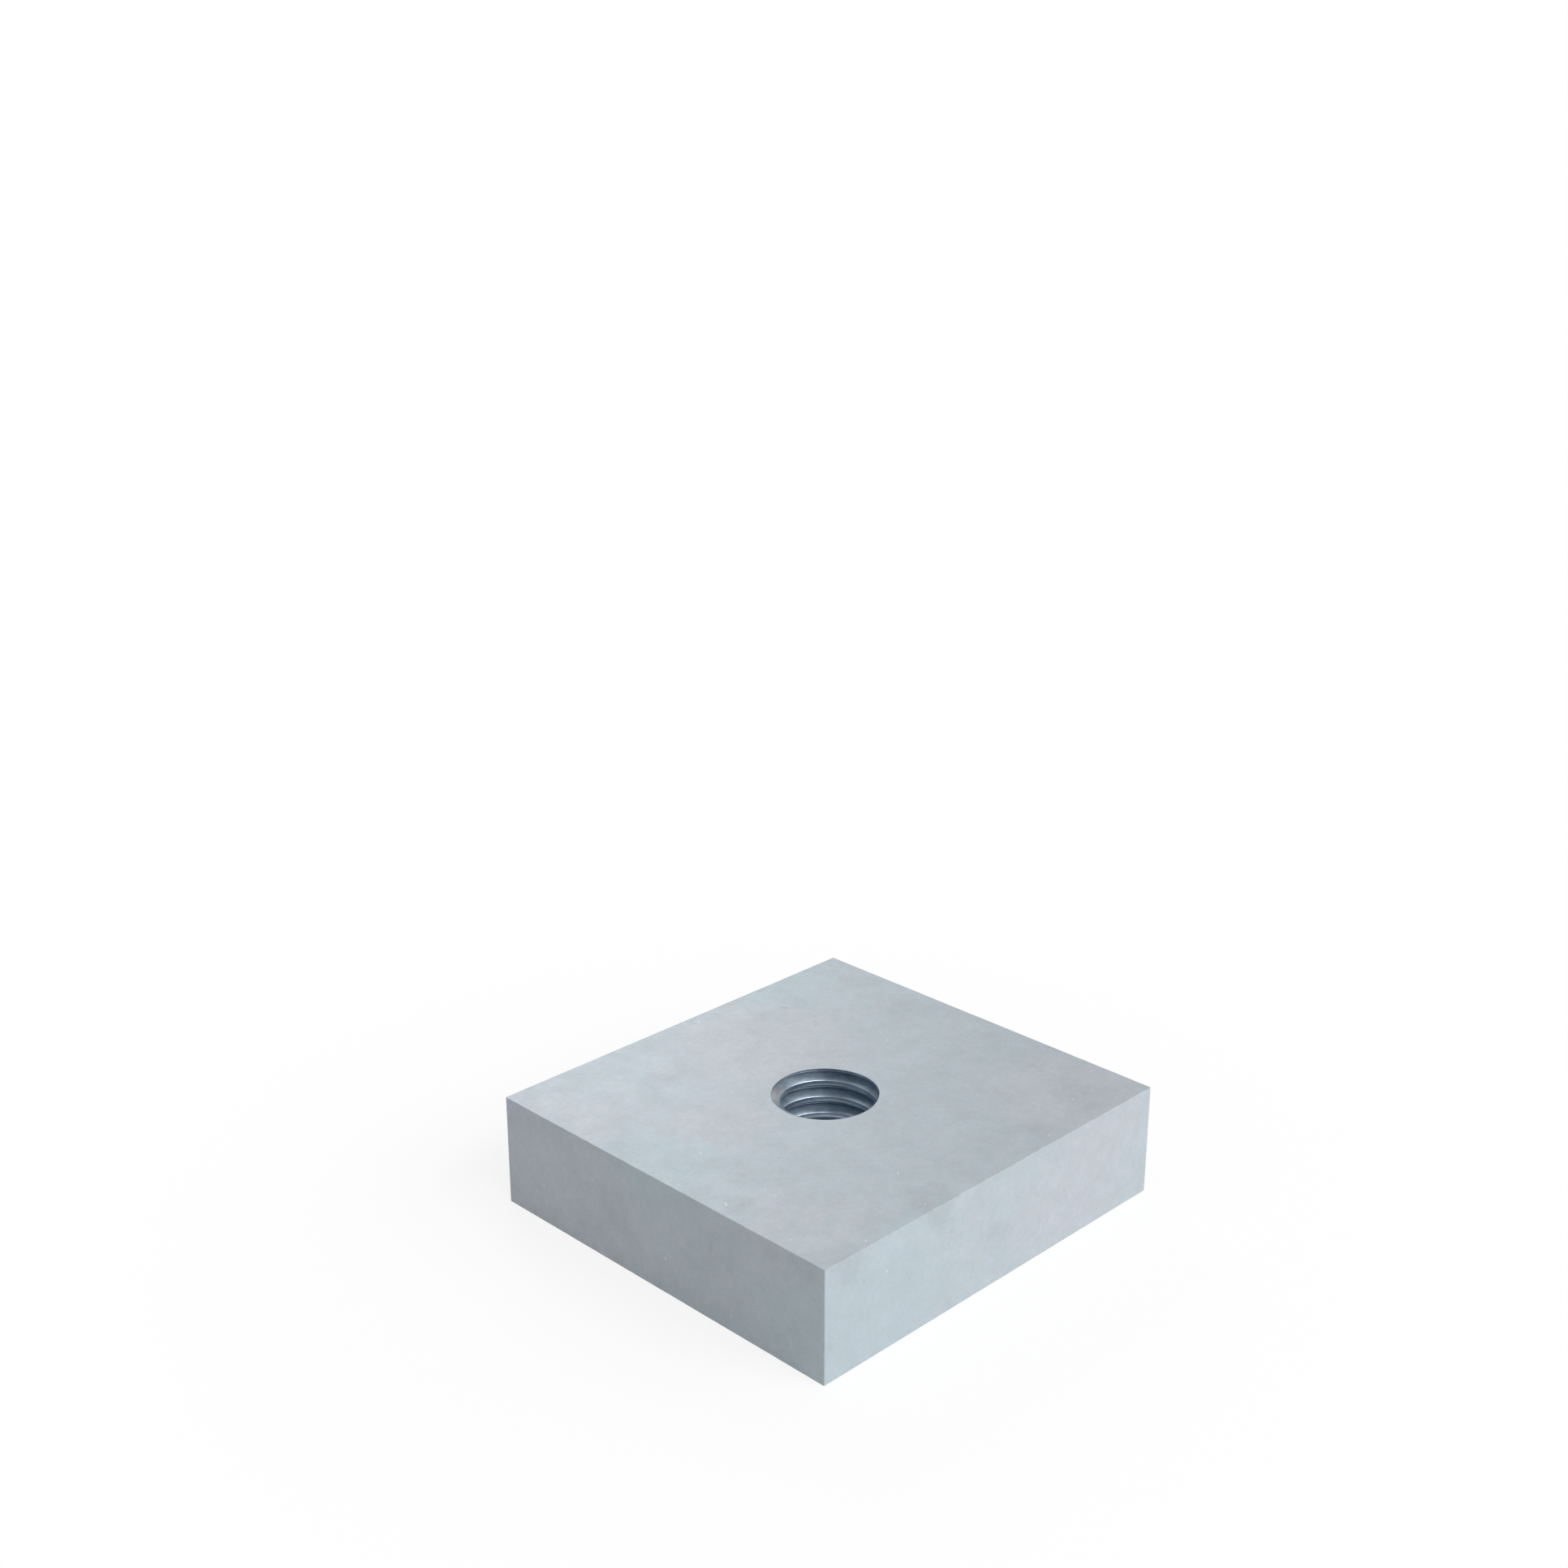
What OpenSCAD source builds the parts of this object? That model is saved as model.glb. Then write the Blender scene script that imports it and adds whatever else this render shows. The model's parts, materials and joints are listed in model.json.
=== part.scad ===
// Threaded plate: a flat block of steel with one tapped hole straight through its middle.
// It lies on its underside, and the middle of that underside is the origin.
// X runs along the width, Y along the depth, and Z up along the axis of the hole.

/* [Plate] */
// Width of the plate, along X
plate_w = 32; // [20:0.5:80]
// Depth of the plate, along Y
plate_d = 30; // [20:0.5:80]
// Thickness of the plate, along Z
plate_t = 8; // [3:0.5:20]

/* [Threaded hole] */
// Nominal diameter of the screw that the hole takes
thread_d = 8; // [4:0.5:16]
// Pitch of the thread
thread_pitch = 1.25; // [0.5:0.05:2]

/* [Hidden] */
// The hole is drilled for tapping to the nominal diameter less one pitch.
// The crests of the thread stand on this circle.
bore_d = thread_d - thread_pitch;
// The drill runs this far past both faces
drill_past = 1;
bore_facets = 96;
zinc_grey = [0.74, 0.77, 0.80];

// The hole as it is drilled, with square mouths: the real plate has no countersink
module drilled_hole() {
    translate([0, 0, -drill_past])
        cylinder(d = bore_d, h = plate_t + 2 * drill_past, $fn = bore_facets);
}

// The plate is sawn and ground square, with sharp edges all round
module plate() {
    color(zinc_grey)
        difference() {
            translate([-plate_w / 2, -plate_d / 2, 0])
                cube([plate_w, plate_d, plate_t]);
            drilled_hole();
        }
}

plate();
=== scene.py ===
"""A threaded plate of zinc-plated steel, lying on a pale floor in soft studio light."""
import json
import math

import bmesh
import bpy
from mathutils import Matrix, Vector, noise


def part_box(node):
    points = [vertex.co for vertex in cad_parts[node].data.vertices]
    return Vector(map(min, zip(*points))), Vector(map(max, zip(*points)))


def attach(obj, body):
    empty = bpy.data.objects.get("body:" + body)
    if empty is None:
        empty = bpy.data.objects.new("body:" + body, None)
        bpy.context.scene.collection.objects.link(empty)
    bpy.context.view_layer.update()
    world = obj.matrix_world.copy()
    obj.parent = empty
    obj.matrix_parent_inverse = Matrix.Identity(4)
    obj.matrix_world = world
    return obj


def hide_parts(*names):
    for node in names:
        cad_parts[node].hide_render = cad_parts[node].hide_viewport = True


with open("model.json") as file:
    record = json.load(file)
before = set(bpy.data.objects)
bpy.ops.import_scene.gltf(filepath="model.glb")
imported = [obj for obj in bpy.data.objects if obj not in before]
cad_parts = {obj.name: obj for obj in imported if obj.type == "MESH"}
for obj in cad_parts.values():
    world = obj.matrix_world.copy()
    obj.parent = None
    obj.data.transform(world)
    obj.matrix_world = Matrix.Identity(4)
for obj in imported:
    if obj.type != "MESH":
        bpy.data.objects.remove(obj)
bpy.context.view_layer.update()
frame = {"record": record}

MM = 0.001

# The plate and its bore, from the frame
LOW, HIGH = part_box("plate")
THREAD_MOUNT = next(mount for mount in frame["record"]["mounts"] if mount["name"] == "thread")
BORE_R = THREAD_MOUNT["dims"]["r_mm"] * MM

# The thread: coarse metric, right-hand, cut straight through both faces with no countersink
PITCH = 1.25 * MM
ROOT_R = 4.08 * MM
ROOT_FLAT = 0.12 * MM
FLANK_ANGLE = math.radians(30)
CREST_ROUNDING = 0.04 * MM
ROOT_ROUNDING = 0.04 * MM
ROUNDING_STEPS = 3
FLANK_STEPS = 3
# Where the middle of the crest meets the top face, round from +X towards +Y
CREST_AT_TOP = math.radians(-13.5)
TURN_STEPS = 360
# Turns that are drawn at either end beyond those that the thickness holds, before the thread is cut off flush
SPARE_TURNS = 2
# In metres: how near the cut a point counts as on it, and how level the cut rim has to be
CUT_TOLERANCE = 1e-9
RIM_TOLERANCE = 1e-8

# The outside: its edges are sharp, with a hair of rounding that is here and there a little wider
EDGE_ROUNDING = 0.006 * MM
EDGE_WEAR = 0.04 * MM
EDGE_WEAR_LENGTH = 0.9 * MM
EDGE_ROUNDING_STEPS = 2
CORNER_ROUNDING = 0.06 * MM
EDGE_SPACING = 0.25 * MM

# The shading: faces that meet at more than this angle have a sharp edge between them
SHARP_ANGLE = math.radians(40)
# A face is shaded flat where its normal has at least this much along one axis
FLAT_NORMAL = 0.9999
# The piece's second material is that of the thread
THREAD_SLOT = 1

# Patterns of soft patches: their size in mm, how many finer layers they have, and how strong each one is
TINT_CLOUDS = (1.0, 3, 0.85)
PALE_CLOUDS = (0.9, 3, 0.7)
TONE_CLOUDS = (3, 5, 1.0)
BLUE_CLOUDS = (0.9, 3, 1.0)
FINISH_CLOUDS = (2.5, 4, 0.7)
GRAIN = (0.25, 2, 0.6)
STREAKS = (0.12, 3, 0.8)
BLOTCHES = (0.9, 4, 0.8)
# Nearly all of such a pattern lies between these values
PATCH_SPAN = (0.3, 0.7)

# What makes edges ragged: the size of the patches that push them and how far they push, in mm
ZONE_PUSH = (5, 8)
SMUDGE_PUSH = (1.2, 3)
MARK_PUSH = (0.25, 0.3)
# The next one pushes the edge of the painted highlight on the thread
PAINTED_HIGHLIGHT_PUSH = (0.6, 0.8)
PUSH_LAYERS = 3
PUSH_MIDDLE = (0.5, 0.5, 0.5)
# A round zone is full within the first share of its radius, and gone at the second
ZONE_FULL, ZONE_GONE = 0.6, 1.2

# The zinc: its two tints, its finish, and how far its tone, its blue and its roughness stray
ZINC_TEAL = (0.365, 0.425, 0.458)
ZINC_MAUVE = (0.398, 0.417, 0.455)
ZINC_METALLIC = 0.5
ZINC_ROUGHNESS = 0.58
ZINC_TONE_STRAY = 0.09
ZINC_BLUE_STRAY = 0.03
ZINC_ROUGHNESS_STRAY = 0.03
# Its grain: how strongly the bumps show, and how deep they are
GRAIN_STRENGTH, GRAIN_DEPTH = 0.3, 0.002 * MM

# How far the small clouds alone turn the zinc from teal (0) to mauve (1), and how much each zone adds
CLOUD_TINT = (-0.1, 0.8)
ZONE_TINT = 0.4
# Where the zinc turns mauve (1) or teal (-1): place and radius in mm
TINTED_ZONES = (
    (1, (1, 8, 8), 7),
    (1, (-8, 2, 8), 3.5),
    (1, (-13, -11, 9), 4.5),
    (1, (12, -11, 8), 5.5),
    (1, (-16, 9, 3), 7.5),
    (1, (8, -15, 3), 6),
    (-1, (-16, 2, 9), 5),
    (-1, (-13, -16, 2), 8),
    (-1, (9, 14, 9), 4),
)

# Pale smudges in the mauve zones: their colour, how strongly it shows, and where in their pattern they set in
PALE_COLOUR = (0.50, 0.485, 0.50)
PALE_SHARE = 0.22
PALE_FROM, PALE_TO = 0.52, 0.66

# Where the zinc is a little darker, how much, and place and radius in mm
SMUDGES = (
    (0.05, (-14.5, -5.8, 8), 1.2),
    (0.08, (-5.4, -14, 8), 1.8),
    (0.04, (6, -13.4, 8.3), 1.4),
    (0.04, (12, -12.8, 8.6), 2.2),
    (0.05, (13.2, 5.4, 8), 1.0),
    (0.16, (7.1, 11.8, 8), 0.3),
    (0.06, (-16, -13.5, 7.6), 1.4),
    (0.05, (-14, -15, 7.7), 1.6),
    (0.04, (0, -15, 3), 1.6),
    (0.04, (-16, 4, 4), 1.8),
)

FLECK_COLOUR = (0.75, 0.76, 0.77)
SPECK_COLOUR = (0.2, 0.22, 0.24)
# Small marks in the zinc: pale flecks, pale dashes and dark specks. Each kind has its colour, its turn in
# radians, its stretch along the turned axes, mm from mark to mark, mm across, and how strongly it shows.
MARKS = (
    (FLECK_COLOUR, (0.3, 0.5, 0.4), (1, 1, 1), 2.4, 0.24, 0.4),
    (FLECK_COLOUR, (0.2, 0.1, 1.1), (4, 1, 1), 1.9, 0.16, 0.4),
    (SPECK_COLOUR, (1.1, 0.7, 0.2), (1, 1, 1), 3.2, 0.3, 0.25),
)
# The inner share of a mark that shows at full strength
MARK_CORE = 0.5

# The cut wall of the thread: its colour, its finish, and how far its tone and its roughness stray
THREAD_COLOUR = (0.40, 0.48, 0.56)
THREAD_METALLIC = 1
THREAD_ROUGHNESS = 0.35
THREAD_STREAK_STRAY = 0.1
THREAD_BLOTCH_STRAY = 0.16
THREAD_ROUGHNESS_STRAY = 0.04
# Its streaks: how dense their pattern is along each axis, so that they run long round the hole
STREAK_DENSITY = (0.12, 0.12, 1)
STREAK_STRENGTH, STREAK_DEPTH = 0.3, 0.003 * MM
# How dark the painted shade makes the bottom of the groove, and the radii in mm between which it sets in
GROOVE_PAINTED_SHADE = 0.85
GROOVE_SHADE_FROM, GROOVE_SHADE_TO = 3.85, 4.05
# A painted highlight on the start of the thread, a pale patch that stands in for light falling there: colour,
# how strongly it shows, place and radius in mm
PAINTED_HIGHLIGHT_COLOUR = (0.46, 0.475, 0.49)
PAINTED_HIGHLIGHT_SHARE = 0.8
PAINTED_HIGHLIGHT_PLACE, PAINTED_HIGHLIGHT_RADIUS = (-2.7, 2.9, 7.6), 1.8

# The camera, as solved from the corners of the plate in the photograph
CAMERA_PLACE = Vector((-95.37, -90.98, 78.29)) * MM
CAMERA_PITCH = math.radians(20.02)
CAMERA_HEADING = math.radians(-45)
LENS_MM = 50
SENSOR_MM = 36
# The nearest and the farthest that it sees, in metres
CLIP_NEAR, CLIP_FAR = 0.001, 100

# The floor: it reaches this far from the plate each way, and its walls are this high, in metres
FLOOR_HALF, WALL_HEIGHT = 1, 0.4
# It lies this far below the plate, so that the two don't share a plane
FLOOR_GAP = 0.005 * MM
FLOOR_COLOUR = (0.65, 0.65, 0.65)
FLOOR_ROUGHNESS = 0.8
# The share of plain white in it, where it is looked at or mirrored, up to the first distance from the
# plate's middle, so that the shadow stays. It grows from there, and is all white from the second distance on.
FLOOR_WHITE_SHARE = 0.85
FLOOR_WHITE_FROM, FLOOR_WHITE_TO = 22 * MM, 52 * MM

# The light: a pale world all round and five softboxes, all aimed at the same place
WORLD_COLOUR = (1, 1, 1)
WORLD_LEVEL = 0.3
LAMP_TARGET = Vector((0, 0, 6)) * MM
# Name, watts, distance in mm, heading and height in degrees, width and height of the softbox in mm
SOFTBOXES = (
    ("right_softbox", 2.65, 600, -60, 38, 500, 300),
    ("front_softbox", 3.25, 600, -90, 40, 500, 300),
    ("near_softbox", 0.09, 200, 60, 30, 70, 70),
    ("left_softbox", 0.12, 500, 135, 60, 300, 300),
    ("left_softbox_low", 0.06, 500, 165, 45, 300, 300),
)


def add_object(name, data):
    """An object with this data, put into the scene."""
    made = bpy.data.objects.new(name, data)
    bpy.context.scene.collection.objects.link(made)
    return made


def rounded(corner, before, after, radius, steps):
    """Points of the arc that rounds a corner between the two points beside it."""
    to_before = (before - corner).normalized()
    to_after = (after - corner).normalized()
    half = to_before.angle(to_after) / 2
    middle = corner + (to_before + to_after).normalized() * radius / math.sin(half)
    start = corner + to_before * radius / math.tan(half) - middle
    turn = math.pi - 2 * half
    if start.x * to_after.y - start.y * to_after.x < 0:
        turn = -turn
    points = []
    for i in range(steps + 1):
        angle = turn * i / steps
        cos, sin = math.cos(angle), math.sin(angle)
        points.append(middle + Vector((start.x * cos - start.y * sin, start.x * sin + start.y * cos)))
    return points


def thread_section():
    """Heights and radii along one pitch of the thread, from the middle of a crest to just under the next."""
    flank_height = (ROOT_R - BORE_R) * math.tan(FLANK_ANGLE)
    crest_half = (PITCH - ROOT_FLAT) / 2 - flank_height
    crest = Vector((0, BORE_R))
    crest_edge = Vector((crest_half, BORE_R))
    root_edge = Vector((crest_half + flank_height, ROOT_R))
    root = Vector((PITCH / 2, ROOT_R))
    crest_arc = rounded(crest_edge, crest, root_edge, CREST_ROUNDING, ROUNDING_STEPS)
    root_arc = rounded(root_edge, crest_edge, root, ROOT_ROUNDING, ROUNDING_STEPS)
    flank = [crest_arc[-1].lerp(root_arc[0], i / FLANK_STEPS) for i in range(1, FLANK_STEPS)]
    half = crest_arc + flank + root_arc
    mirrored = [Vector((PITCH - point.x, point.y)) for point in reversed(half)]
    return [crest] + half + [root] + mirrored


def thread_columns(mesh, section):
    """Points of the thread's wall, in upright columns that climb one pitch in going once round the hole."""
    turns_below = math.ceil((HIGH.z - LOW.z) / PITCH) + SPARE_TURNS
    crest_height = HIGH.z - PITCH * CREST_AT_TOP / math.tau
    columns = []
    for i in range(TURN_STEPS):
        angle = math.tau * i / TURN_STEPS
        cos, sin = math.cos(angle), math.sin(angle)
        rise = crest_height + PITCH * angle / math.tau
        column = []
        for turn in range(-turns_below, SPARE_TURNS + 1):
            for height, radius in section:
                column.append(mesh.verts.new((radius * cos, radius * sin, rise + turn * PITCH + height)))
        columns.append(column)
    # The last column joins the first one a whole pitch higher
    columns.append(columns[0][len(section):])
    return columns


def cut_off(mesh, level, outward):
    """Cuts the mesh at this height and drops what lies past it: above for an outward of 1, below for -1."""
    bmesh.ops.bisect_plane(
        mesh,
        geom=mesh.verts[:] + mesh.edges[:] + mesh.faces[:],
        dist=CUT_TOLERANCE,
        plane_co=(0, 0, level),
        plane_no=(0, 0, outward),
        clear_outer=True,
    )


def rim_at(mesh, level):
    """The open edges of the mesh that lie at this height."""
    rim = []
    for edge in mesh.edges:
        if edge.is_boundary and all(abs(vert.co.z - level) < RIM_TOLERANCE for vert in edge.verts):
            rim.append(edge)
    return rim


def add_thread(mesh):
    """The helical wall of the hole, cut off flush at both faces. Returns its lower and its upper rim."""
    columns = thread_columns(mesh, thread_section())
    for left, right in zip(columns, columns[1:]):
        for k in range(min(len(left), len(right)) - 1):
            wall = mesh.faces.new((left[k], left[k + 1], right[k + 1], right[k]))
            wall.material_index = THREAD_SLOT
    cut_off(mesh, HIGH.z, 1)
    cut_off(mesh, LOW.z, -1)
    return [rim_at(mesh, LOW.z), rim_at(mesh, HIGH.z)]


def along(first, last, inside):
    """Points between the ends of one straight side, without the ends, each with the direction inwards."""
    count = round((last - first).length / EDGE_SPACING)
    return [(first.lerp(last, i / count), inside) for i in range(1, count)]


def outline():
    """Points round the plate, with the direction inwards at each. The upright corners are finely rounded."""
    half_w = (HIGH.x - LOW.x) / 2
    half_d = (HIGH.y - LOW.y) / 2
    arcs = []
    for x, y in ((half_w, half_d), (-half_w, half_d), (-half_w, -half_d), (half_w, -half_d)):
        sign_x, sign_y = math.copysign(1, x), math.copysign(1, y)
        middle = Vector((x - sign_x * CORNER_ROUNDING, y - sign_y * CORNER_ROUNDING))
        start = math.atan2(sign_y, sign_x) - math.pi / 4
        arc = []
        for i in range(EDGE_ROUNDING_STEPS + 1):
            angle = start + math.pi / 2 * i / EDGE_ROUNDING_STEPS
            outward = Vector((math.cos(angle), math.sin(angle)))
            arc.append((middle + CORNER_ROUNDING * outward, -outward))
        arcs.append(arc)
    points = []
    for arc, following in zip(arcs, arcs[1:] + arcs[:1]):
        last, inside = arc[-1]
        points += arc + along(last, following[0][0], inside)
    return points


def worn_rounding(point, level):
    """The radius of the rounding at this place on the upper or lower edge."""
    place = Vector((point.x, point.y, level)) / EDGE_WEAR_LENGTH
    return EDGE_ROUNDING + EDGE_WEAR * max(0, noise.noise(place))


def edge_rings(mesh, points, level, inward):
    """Rings of points round this edge, from the flat face to the sides. Inward is 1 for up, -1 for down."""
    rings = []
    for i in range(EDGE_ROUNDING_STEPS + 1):
        angle = math.pi / 2 * i / EDGE_ROUNDING_STEPS
        ring = []
        for point, inside in points:
            radius = worn_rounding(point, level)
            flat = point + inside * radius * (1 - math.sin(angle))
            height = level + inward * radius * (1 - math.cos(angle))
            ring.append(mesh.verts.new((flat.x, flat.y, height)))
        rings.append(ring)
    return rings


def add_outside(mesh):
    """The four sides and the rounded edges. Returns the loops that bound the underside and the top."""
    points = outline()
    lower_edge = edge_rings(mesh, points, LOW.z, 1)
    upper_edge = edge_rings(mesh, points, HIGH.z, -1)
    rings = lower_edge + upper_edge[::-1]
    for below, above in zip(rings, rings[1:]):
        for k in range(len(points)):
            n = (k + 1) % len(points)
            mesh.faces.new((below[k], below[n], above[n], above[k]))
    return [rings[0], rings[-1]]


def loop_edges(mesh, ring):
    """The edges round a closed ring of points."""
    return [mesh.edges.get((a, b)) for a, b in zip(ring, ring[1:] + ring[:1])]


def plate_mesh():
    """The whole plate as one closed mesh: its outside, its two faces and the thread through it."""
    mesh = bmesh.new()
    rims = add_thread(mesh)
    loops = add_outside(mesh)
    for rim, loop, up in zip(rims, loops, (-1, 1)):
        edges = rim + loop_edges(mesh, loop)
        bmesh.ops.triangle_fill(mesh, edges=edges, use_beauty=True, normal=(0, 0, up))
    bmesh.ops.recalc_face_normals(mesh, faces=mesh.faces[:])
    data = bpy.data.meshes.new("zinc_plate")
    mesh.to_mesh(data)
    mesh.free()
    return data


def plate_piece(materials):
    """The plate with its materials and its shading."""
    data = plate_mesh()
    for material in materials:
        data.materials.append(material)
    data.shade_smooth()
    data.set_sharp_from_angle(angle=SHARP_ANGLE)
    for face in data.polygons:
        # The six flat sides stay flat, so that no shade runs across them from their edges
        face.use_smooth = max(abs(part) for part in face.normal) < FLAT_NORMAL
    return add_object("zinc_plate", data)


def plain_material(name, colour, metallic, roughness):
    """A material with the same finish all over, to be used as it is or built upon."""
    material = bpy.data.materials.new(name)
    material.use_nodes = True
    shader = material.node_tree.nodes["Principled BSDF"]
    shader.inputs["Base Color"].default_value = (*colour, 1)
    shader.inputs["Metallic"].default_value = metallic
    shader.inputs["Roughness"].default_value = roughness
    return material


def feed(tree, socket, value):
    """Links an input to another node's output, or sets it to a plain value."""
    if isinstance(value, bpy.types.NodeSocket):
        tree.links.new(value, socket)
    else:
        socket.default_value = value


def add_node(tree, kind, inputs=(), **settings):
    """A node with some of its inputs set or linked, and some of its settings changed."""
    node = tree.nodes.new(kind)
    for key, value in settings.items():
        setattr(node, key, value)
    for key, value in dict(inputs).items():
        feed(tree, node.inputs[key], value)
    return node


def object_place(tree):
    """The place on the object, in its own metres."""
    return tree.nodes.new("ShaderNodeTexCoord").outputs["Object"]


def times(tree, first, second):
    """first * second"""
    return add_node(tree, "ShaderNodeMath", {0: first, 1: second}, operation="MULTIPLY").outputs[0]


def summed(tree, first, second, factor=1):
    """first + second * factor"""
    inputs = {0: second, 1: factor, 2: first}
    return add_node(tree, "ShaderNodeMath", inputs, operation="MULTIPLY_ADD").outputs[0]


def clamped(tree, value):
    """The value, held between 0 and 1."""
    return add_node(tree, "ShaderNodeClamp", {"Value": value}).outputs[0]


def length_of(tree, vector):
    """How long the vector is."""
    return add_node(tree, "ShaderNodeVectorMath", {0: vector}, operation="LENGTH").outputs["Value"]


def spread(tree, value, low, high, to_low, to_high):
    """Maps low to high onto another span, and holds it at the ends."""
    inputs = {"Value": value, "From Min": low, "From Max": high, "To Min": to_low, "To Max": to_high}
    return add_node(tree, "ShaderNodeMapRange", inputs).outputs["Result"]


def mixed(tree, first, second, share, blend="MIX"):
    """One colour over another. The colours and the share may be plain values or outputs of other nodes."""
    node = add_node(tree, "ShaderNodeMix", {"Factor": share}, data_type="RGBA", blend_type=blend)
    sockets = [socket for socket in node.inputs if socket.type == "RGBA"]
    for socket, colour in zip(sockets, (first, second)):
        feed(tree, socket, (*colour, 1) if isinstance(colour, tuple) else colour)
    return next(output for output in node.outputs if output.type == "RGBA")


def toned(tree, colour, tone, blue_tone):
    """The colour times a tone, which has a value of its own for blue."""
    parts = {"Red": tone, "Green": tone, "Blue": blue_tone}
    grey = add_node(tree, "ShaderNodeCombineColor", parts).outputs["Color"]
    return mixed(tree, colour, grey, 1.0, "MULTIPLY")


def patches(tree, place, size_mm, layers, gain):
    """Soft patches about this many mm across, with finer ones in them. Goes from 0 to 1, mostly near 0.5."""
    inputs = {"Vector": place, "Scale": 1 / (size_mm * MM), "Detail": layers, "Roughness": gain}
    return add_node(tree, "ShaderNodeTexNoise", inputs).outputs["Fac"]


def strayed(tree, pattern, middle, stray):
    """Turns a pattern of patches into values that stray from the middle by this much at most."""
    return spread(tree, pattern, *PATCH_SPAN, middle - stray, middle + stray)


def specks(tree, place, turn, stretch, apart_mm, across_mm, depth):
    """Sparse small marks, 0 between them and up to depth in them."""
    mapping = {"Vector": place, "Rotation": turn, "Scale": stretch}
    moved = add_node(tree, "ShaderNodeMapping", mapping, vector_type="TEXTURE").outputs["Vector"]
    inputs = {"Vector": moved, "Scale": 1 / (apart_mm * MM)}
    cells = add_node(tree, "ShaderNodeTexVoronoi", inputs)
    edge = across_mm / 2 / apart_mm
    return spread(tree, cells.outputs["Distance"], edge * MARK_CORE, edge, depth, 0)


def near(tree, place, middle, radius):
    """1 close to the middle, given in mm, falling to 0 round about the radius."""
    inputs = {0: place, 1: [part * MM for part in middle]}
    away = add_node(tree, "ShaderNodeVectorMath", inputs, operation="DISTANCE").outputs["Value"]
    return spread(tree, away, ZONE_FULL * radius * MM, ZONE_GONE * radius * MM, 1, 0)


def jittered(tree, place, size_mm, by_mm):
    """The place, pushed to and fro by patches of this size, so that what is drawn there is ragged."""
    inputs = {"Vector": place, "Scale": 1 / (size_mm * MM), "Detail": PUSH_LAYERS}
    shift = add_node(tree, "ShaderNodeTexNoise", inputs).outputs["Color"]
    push = {0: shift, 1: PUSH_MIDDLE}
    push = add_node(tree, "ShaderNodeVectorMath", push, operation="SUBTRACT").outputs[0]
    inputs = {0: push, 1: (by_mm * MM,) * 3, 2: place}
    return add_node(tree, "ShaderNodeVectorMath", inputs, operation="MULTIPLY_ADD").outputs[0]


def roughen(tree, shader, pattern, roughness, stray):
    """Lets the pattern make the finish a little rougher and smoother."""
    tree.links.new(strayed(tree, pattern, roughness, stray), shader.inputs["Roughness"])


def emboss(tree, shader, pattern, strength, depth):
    """Lets the pattern raise fine bumps."""
    bump = {"Height": pattern, "Strength": strength, "Distance": depth}
    tree.links.new(add_node(tree, "ShaderNodeBump", bump).outputs["Normal"], shader.inputs["Normal"])


def tinted_zones(tree, place):
    """0 where the zinc is teal and 1 where it is mauve: wide ragged zones, and small clouds all over."""
    clouds = patches(tree, place, *TINT_CLOUDS)
    ragged = jittered(tree, place, *ZONE_PUSH)
    total = spread(tree, clouds, *PATCH_SPAN, *CLOUD_TINT)
    for sign, middle, radius in TINTED_ZONES:
        total = summed(tree, total, near(tree, ragged, middle, radius), ZONE_TINT * sign)
    return clamped(tree, total)


def zinc_tint(tree, place):
    """The colour of the zinc before its tone: teal and mauve, with pale smudges in the mauve."""
    mauve = tinted_zones(tree, place)
    tint = mixed(tree, ZINC_TEAL, ZINC_MAUVE, mauve)
    pale = spread(tree, patches(tree, place, *PALE_CLOUDS), PALE_FROM, PALE_TO, 0, PALE_SHARE)
    return mixed(tree, tint, PALE_COLOUR, times(tree, pale, mauve))


def zinc_tone(tree, place):
    """How light the zinc is: fine mottling, darkened in the smudges."""
    tone = strayed(tree, patches(tree, place, *TONE_CLOUDS), 1, ZINC_TONE_STRAY)
    ragged = jittered(tree, place, *SMUDGE_PUSH)
    for depth, middle, radius in SMUDGES:
        tone = summed(tree, tone, near(tree, ragged, middle, radius), -depth)
    return tone


def marked(tree, place, colour):
    """The colour, with the small marks over it."""
    ragged = jittered(tree, place, *MARK_PUSH)
    for mark_colour, turn, stretch, apart, across, depth in MARKS:
        share = specks(tree, ragged, turn, stretch, apart, across, depth)
        colour = mixed(tree, colour, mark_colour, share)
    return colour


def zinc_material():
    """Bright zinc: faint teal and mauve zones, fine mottling, small marks and a fine grain."""
    material = plain_material("zinc", ZINC_TEAL, ZINC_METALLIC, ZINC_ROUGHNESS)
    tree = material.node_tree
    shader = tree.nodes["Principled BSDF"]
    place = object_place(tree)
    tint = zinc_tint(tree, place)
    tone = zinc_tone(tree, place)
    blueness = strayed(tree, patches(tree, place, *BLUE_CLOUDS), 1, ZINC_BLUE_STRAY)
    colour = marked(tree, place, toned(tree, tint, tone, times(tree, tone, blueness)))
    tree.links.new(colour, shader.inputs["Base Color"])
    roughen(tree, shader, patches(tree, place, *FINISH_CLOUDS), ZINC_ROUGHNESS, ZINC_ROUGHNESS_STRAY)
    emboss(tree, shader, patches(tree, place, *GRAIN), GRAIN_STRENGTH, GRAIN_DEPTH)
    return material


def painted_groove_shade(tree, place):
    """Painted shade: 1 on the crests of the thread, and darker towards the bottom of the groove, where shade
    falls.
    """
    flattened = {0: place, 1: (1, 1, 0)}
    across = add_node(tree, "ShaderNodeVectorMath", flattened, operation="MULTIPLY").outputs[0]
    return spread(tree, length_of(tree, across), GROOVE_SHADE_FROM * MM, GROOVE_SHADE_TO * MM, 1, GROOVE_PAINTED_SHADE)


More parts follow.
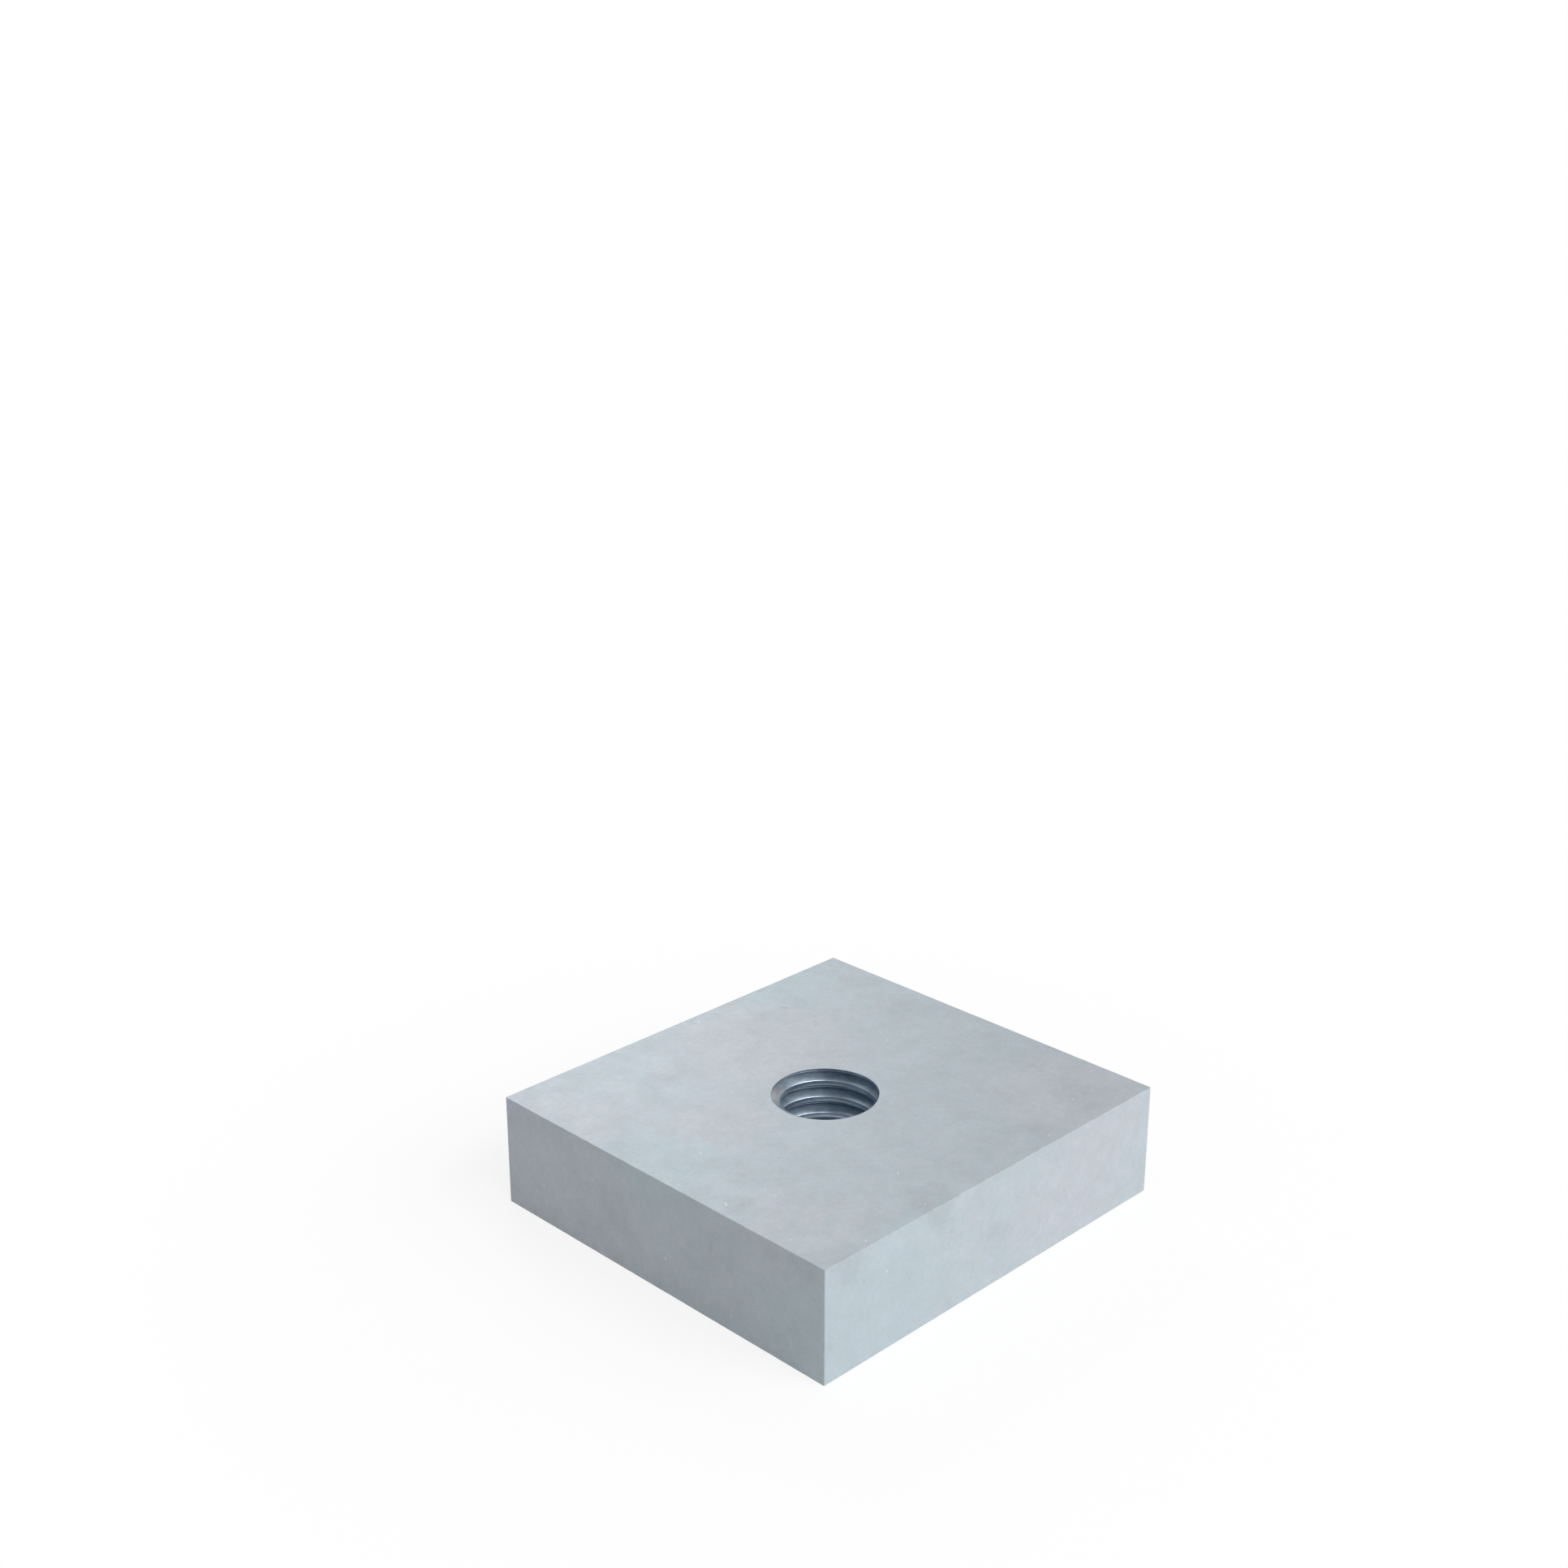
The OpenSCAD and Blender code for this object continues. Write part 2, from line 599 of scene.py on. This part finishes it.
def colour_with_painted_highlight(tree, place):
    """The colour of the cut wall, with a pale painted highlight on the start of the thread."""
    painted_highlight = near(tree, jittered(tree, place, *PAINTED_HIGHLIGHT_PUSH), PAINTED_HIGHLIGHT_PLACE, PAINTED_HIGHLIGHT_RADIUS)
    return mixed(tree, THREAD_COLOUR, PAINTED_HIGHLIGHT_COLOUR, times(tree, painted_highlight, PAINTED_HIGHLIGHT_SHARE))


def thread_material():
    """The cut wall of the hole: darker, bluer and shinier than the zinc, with fine streaks round it."""
    material = plain_material("zinc_thread", THREAD_COLOUR, THREAD_METALLIC, THREAD_ROUGHNESS)
    tree = material.node_tree
    shader = tree.nodes["Principled BSDF"]
    place = object_place(tree)
    mapping = {"Vector": place, "Scale": STREAK_DENSITY}
    round_hole = add_node(tree, "ShaderNodeMapping", mapping).outputs["Vector"]
    streaks = patches(tree, round_hole, *STREAKS)
    blotches = patches(tree, place, *BLOTCHES)
    streak_tone = strayed(tree, streaks, 1, THREAD_STREAK_STRAY)
    blotch_tone = strayed(tree, blotches, 1, THREAD_BLOTCH_STRAY)
    # The tone takes in the painted shade at the bottom of the groove
    tone = times(tree, times(tree, streak_tone, blotch_tone), painted_groove_shade(tree, place))
    # The colour takes in the painted highlight on the start of the thread
    colour = toned(tree, colour_with_painted_highlight(tree, place), tone, tone)
    tree.links.new(colour, shader.inputs["Base Color"])
    roughen(tree, shader, blotches, THREAD_ROUGHNESS, THREAD_ROUGHNESS_STRAY)
    emboss(tree, shader, streaks, STREAK_STRENGTH, STREAK_DEPTH)
    return material


def floor_white_share(tree):
    """The share of plain white in the floor: none for rays that only light things."""
    path = add_node(tree, "ShaderNodeLightPath").outputs
    seen = summed(tree, path["Is Camera Ray"], path["Is Glossy Ray"])
    seen = clamped(tree, summed(tree, seen, path["Is Transmission Ray"]))
    away = length_of(tree, object_place(tree))
    share = spread(tree, away, FLOOR_WHITE_FROM, FLOOR_WHITE_TO, FLOOR_WHITE_SHARE, 1)
    return times(tree, share, seen)


def floor_material():
    """Pale floor: partly plain white, where it is looked at or mirrored, and partly its own shaded colour."""
    material = plain_material("floor_white", FLOOR_COLOUR, 0, FLOOR_ROUGHNESS)
    # Rays meet the white, but it isn't sampled as a lamp, or part of it would be lost in reflections
    material.cycles.emission_sampling = "NONE"
    tree = material.node_tree
    share = floor_white_share(tree)
    own = tree.nodes["Principled BSDF"].outputs[0]
    white = tree.nodes.new("ShaderNodeEmission").outputs[0]
    mix = add_node(tree, "ShaderNodeMixShader", {0: share, 1: own, 2: white})
    tree.links.new(mix.outputs[0], tree.nodes["Material Output"].inputs["Surface"])
    return material


def make_floor():
    """A floor with a wall far off on each side, so that the background goes on above the horizon."""
    half = FLOOR_HALF
    corners = [(-half, -half), (half, -half), (half, half), (-half, half)]
    points = [(x, y, z) for z in (0, WALL_HEIGHT) for x, y in corners]
    sides = len(corners)
    faces = [tuple(range(sides))]
    for left in range(sides):
        right = (left + 1) % sides
        faces.append((left, right, right + sides, left + sides))
    data = bpy.data.meshes.new("floor")
    data.from_pydata(points, [], faces)
    data.materials.append(floor_material())
    floor = add_object("floor", data)
    floor.location.z = LOW.z - FLOOR_GAP


def make_camera():
    """The camera of the photograph."""
    data = bpy.data.cameras.new("camera")
    data.lens = LENS_MM
    data.sensor_width = SENSOR_MM
    data.clip_start = CLIP_NEAR
    data.clip_end = CLIP_FAR
    camera = add_object("camera", data)
    camera.location = CAMERA_PLACE
    camera.rotation_euler = (math.pi / 2 - CAMERA_PITCH, 0, CAMERA_HEADING)
    bpy.context.scene.camera = camera


def make_world():
    """Pale light from all round."""
    world = bpy.data.worlds.new("world")
    world.use_nodes = True
    background = world.node_tree.nodes["Background"]
    background.inputs["Color"].default_value = (*WORLD_COLOUR, 1)
    background.inputs["Strength"].default_value = WORLD_LEVEL
    bpy.context.scene.world = world


def make_lamp(name, watts, distance, heading, height_angle, width, height):
    """A softbox that faces the plate. Its heading is measured from +X towards +Y, in degrees."""
    data = bpy.data.lights.new(name, "AREA")
    data.shape = "RECTANGLE"
    data.size = width * MM
    data.size_y = height * MM
    data.energy = watts
    around, up = math.radians(heading), math.radians(height_angle)
    away = Vector((math.cos(around) * math.cos(up), math.sin(around) * math.cos(up), math.sin(up)))
    lamp = add_object(name, data)
    lamp.location = LAMP_TARGET + away * distance * MM
    lamp.rotation_euler = away.to_track_quat("Z", "Y").to_euler()


bpy.context.scene.view_settings.view_transform = "Standard"
make_camera()
make_world()
for settings in SOFTBOXES:
    make_lamp(*settings)
make_floor()
plate = plate_piece([zinc_material(), thread_material()])
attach(plate, "root")
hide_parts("plate")
